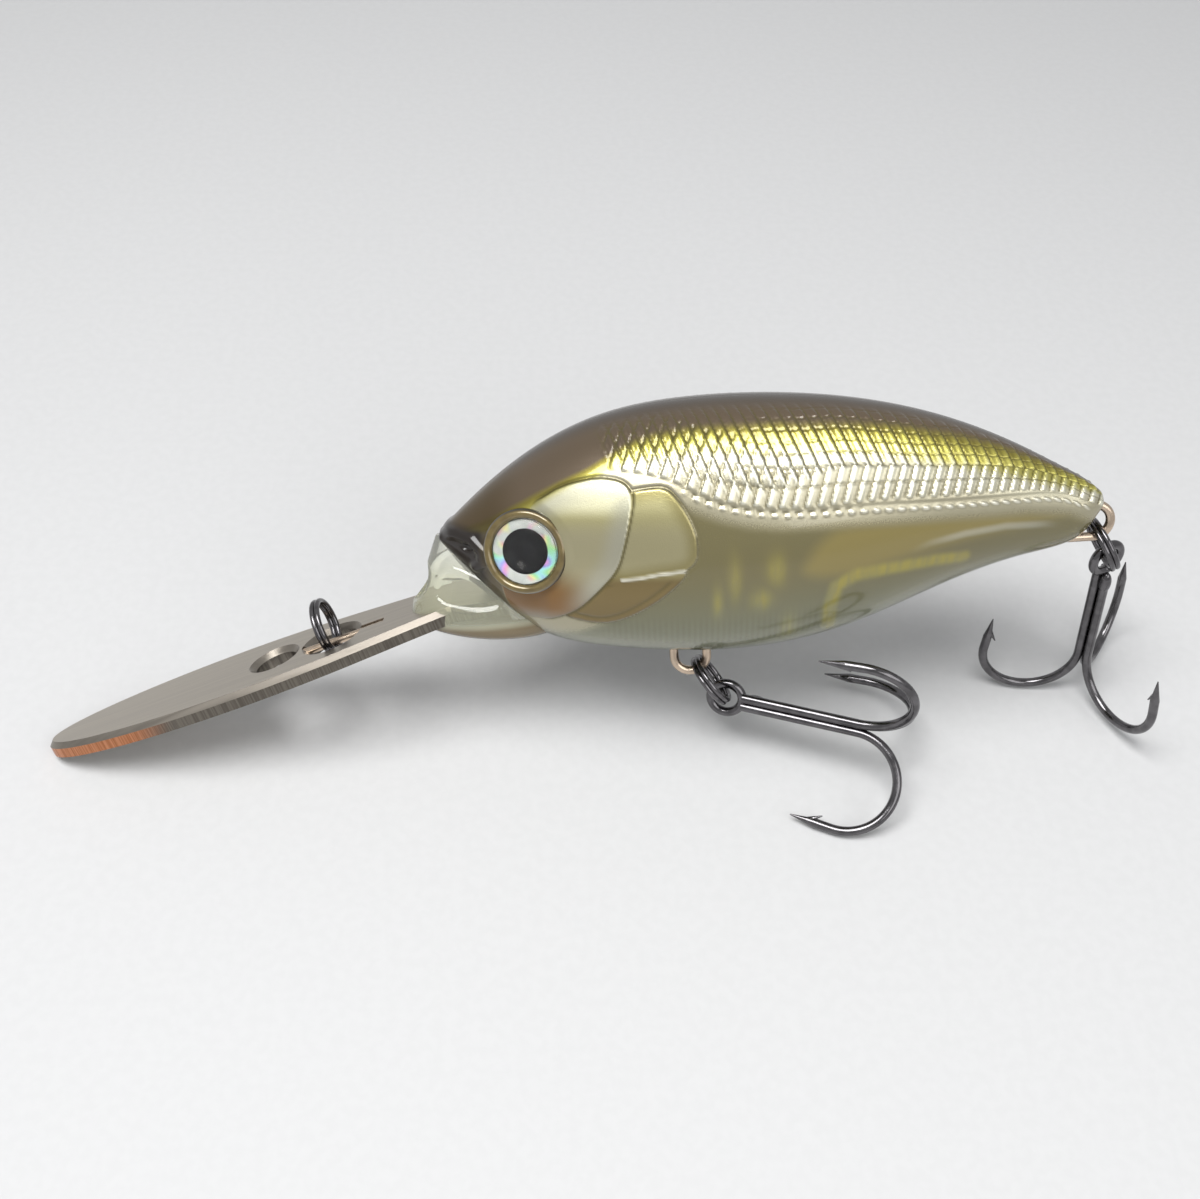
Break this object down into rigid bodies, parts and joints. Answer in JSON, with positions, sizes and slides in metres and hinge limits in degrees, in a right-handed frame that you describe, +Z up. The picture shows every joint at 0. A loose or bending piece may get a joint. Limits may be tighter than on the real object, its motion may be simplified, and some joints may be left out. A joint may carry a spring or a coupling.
{
  "type": "crankbait lure",
  "caption": "Deep-diving crankbait fishing lure with a long drilled metal lip, clear jaw, scaled body, split rings and two treble hooks.",
  "frame": {"origin": "centre of the bounding box's base, on the surface that the lure lies on", "axes": "+X runs from the lip's tip towards the tail, +Y towards the right flank, +Z up; the lure lies leaning on its right side, on the lip's tip and its two trebles"},
  "size_m": [0.1152, 0.0308, 0.0368],
  "materials": {
    "painted_shell": "gloss clear coat over olive and gold scale paint",
    "clear_plastic": "clear",
    "lip_metal": "satin brushed",
    "steel_wire": "drawn wire",
    "black_nickel": "black nickel plate",
    "mirror_foil": "silvered film",
    "black_ink": "gloss black",
    "weight_metal": "plain turned"
  },
  "bodies": {
    "lure": {"right_body_shell": "painted_shell", "left_body_shell": "painted_shell", "clear_jaw": "clear_plastic", "diving_lip": "lip_metal", "line_tie_wire": "steel_wire", "belly_hanger": "steel_wire", "tail_hanger": "steel_wire", "right_eye_foil": "mirror_foil", "right_eye_pupil": "black_ink", "right_eye_lens": "clear_plastic", "left_eye_foil": "mirror_foil", "left_eye_pupil": "black_ink", "left_eye_lens": "clear_plastic", "right_flash_foil": "mirror_foil", "left_flash_foil": "mirror_foil", "belly_ballast": "weight_metal", "weight_chamber": "clear_plastic"},
    "line_ring": {"line_tie_ring": "black_nickel"},
    "belly_ring": {"belly_split_ring": "black_nickel"},
    "tail_ring": {"tail_split_ring": "black_nickel"},
    "belly_treble": {"belly_treble_double_hook": "black_nickel", "belly_treble_single_hook": "black_nickel"},
    "tail_treble": {"tail_treble_double_hook": "black_nickel", "tail_treble_single_hook": "black_nickel"},
    "casting_weight": {"casting_weight": "weight_metal"}
  },
  "joints": [
    {"name": "belly_ring_swing", "type": "hinge", "parent": "lure", "child": "belly_ring", "pos_m": [0.0095, -0.00096, 0.0102], "axis": [0.7796, 0.2333, 0.5812], "range_deg": [-25, 75]},
    {"name": "belly_treble_swing", "type": "hinge", "parent": "belly_ring", "child": "belly_treble", "pos_m": [0.01227, -0.00244, 0.00707], "axis": [0.2946, 0.8803, -0.3718], "range_deg": [-8, 75]},
    {"name": "tail_ring_swing", "type": "hinge", "parent": "lure", "child": "tail_ring", "pos_m": [0.04823, 0.00384, 0.02379], "axis": [0.8764, 0.1719, 0.4499], "range_deg": [-60, 15]},
    {"name": "tail_treble_swing", "type": "hinge", "parent": "tail_ring", "child": "tail_treble", "pos_m": [0.05012, 0.00452, 0.01984], "axis": [0.4193, -0.9058, 0.0618], "range_deg": [-25, 60]},
    {"name": "line_tie_swing", "type": "hinge", "parent": "lure", "child": "line_ring", "pos_m": [-0.02754, 0.00113, 0.01225], "axis": [-0.9329, -0.121, -0.3392], "range_deg": [-12, 12]},
    {"name": "casting_weight_slide", "type": "slide", "parent": "lure", "child": "casting_weight", "axis": [0.9974, 0, 0.0715], "range_m": [0, 0.02008]}
  ]
}
